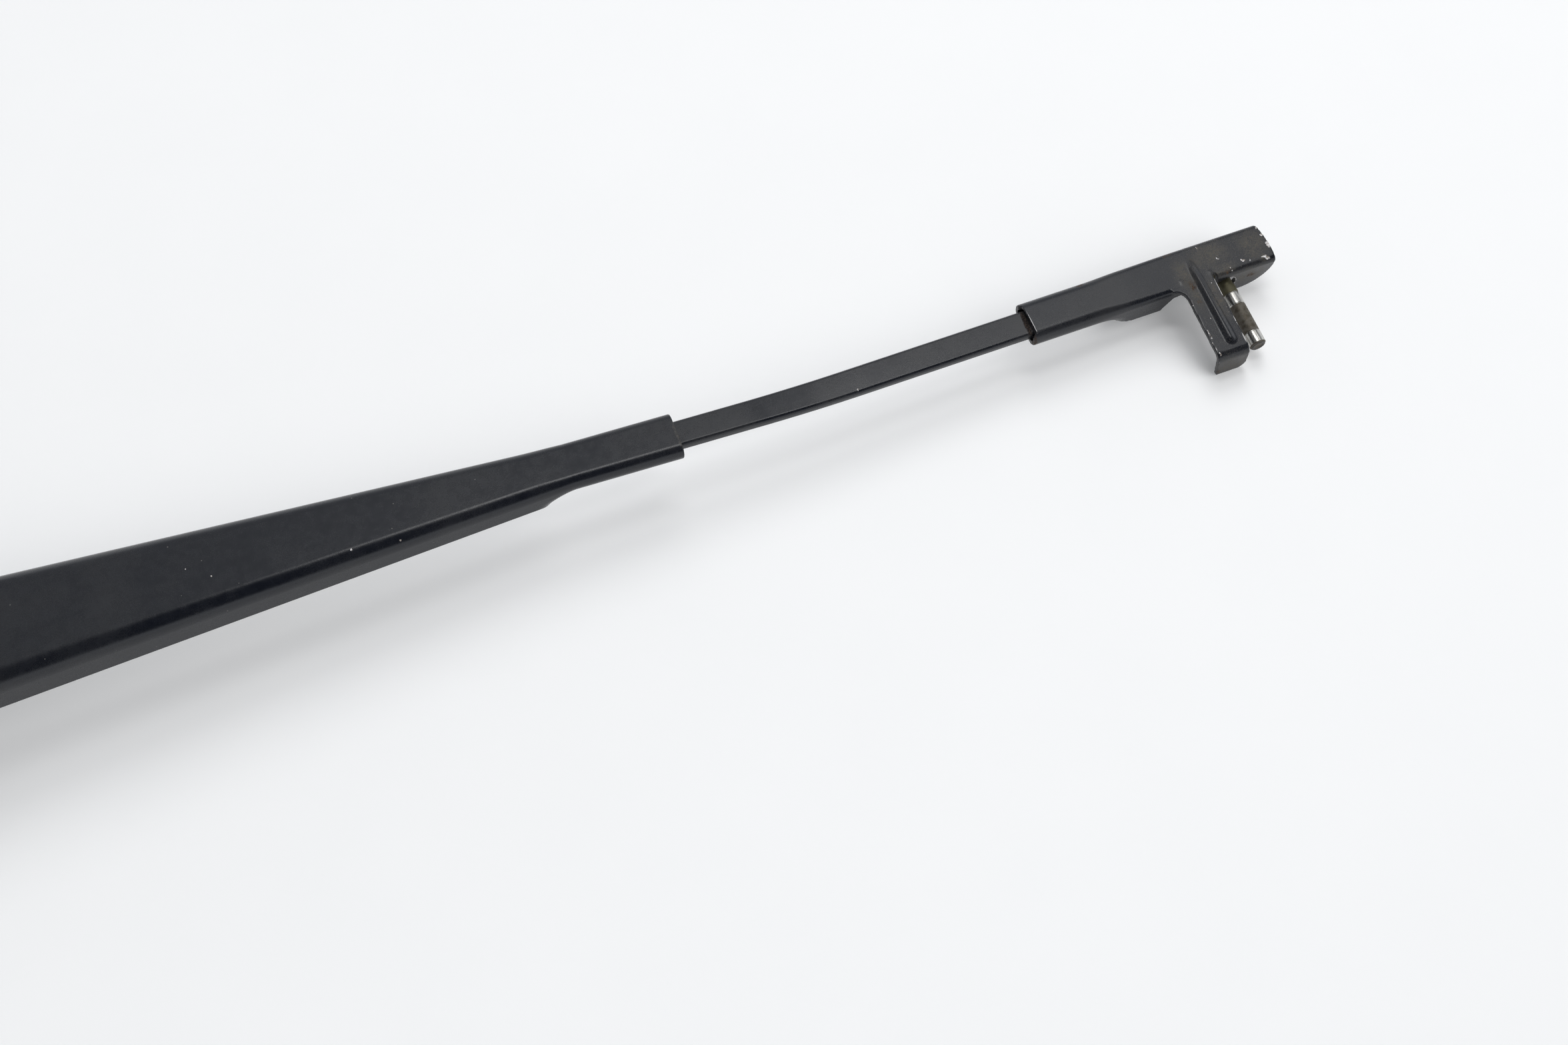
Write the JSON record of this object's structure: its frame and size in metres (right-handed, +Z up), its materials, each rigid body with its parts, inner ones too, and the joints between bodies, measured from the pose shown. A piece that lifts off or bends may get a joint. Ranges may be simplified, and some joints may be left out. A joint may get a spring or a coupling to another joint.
{
  "type": "wiper arm",
  "caption": "Black car wiper arm: a folded tapering channel, a flat bar crimped in it, and an end bracket with a side pin and a bent tab; the arm tilts on its head.",
  "frame": {"origin": "on the spindle's axis, in the plane of the mounting head's base, where the spindle's shoulder meets it", "axes": "+X along the arm towards the tip, +Z up the spindle's axis, -Y the side of the pin and the tab"},
  "size_m": [0.4588, 0.0423, 0.0334],
  "materials": {
    "paint": "satin black paint",
    "head": "satin black paint",
    "cap": "moulded, matte",
    "zinc": "zinc plated",
    "bush": "moulded, natural",
    "pin_steel": "worn, dulled steel"
  },
  "bodies": {
    "head": {"mounting_head": "head", "pivot_bush_near": "bush", "pivot_bush_far": "bush", "hook_pin": "zinc"},
    "arm": {"retainer": "paint", "pivot_pin": "zinc", "bar": "paint", "end_bracket": "paint", "side_pin": "pin_steel"},
    "link": {"spring_link": "zinc", "spring": "zinc"},
    "cap": {"nut_cap": "cap"}
  },
  "joints": [
    {"name": "arm_fold", "type": "hinge", "parent": "head", "child": "arm", "pos_m": [0.058, 0, 0.0252], "axis": [0, -1, 0], "range_deg": [0, 95], "stiffness_Nm_per_rad": 1, "springref_deg": -171.89, "deforming": ["spring"]},
    {"name": "link_swing", "type": "hinge", "parent": "head", "child": "link", "pos_m": [0.0545, 0, 0.0187], "axis": [0, -1, 0], "range_deg": [0, 90.8]},
    {"name": "cap_hinge", "type": "hinge", "parent": "head", "child": "cap", "pos_m": [-0.0152, 0, 0.017], "axis": [0, -1, 0], "range_deg": [0, 105]}
  ],
  "couplings": [
    {"joint": "link_swing", "follows": "arm_fold", "ratio": 0.95}
  ]
}
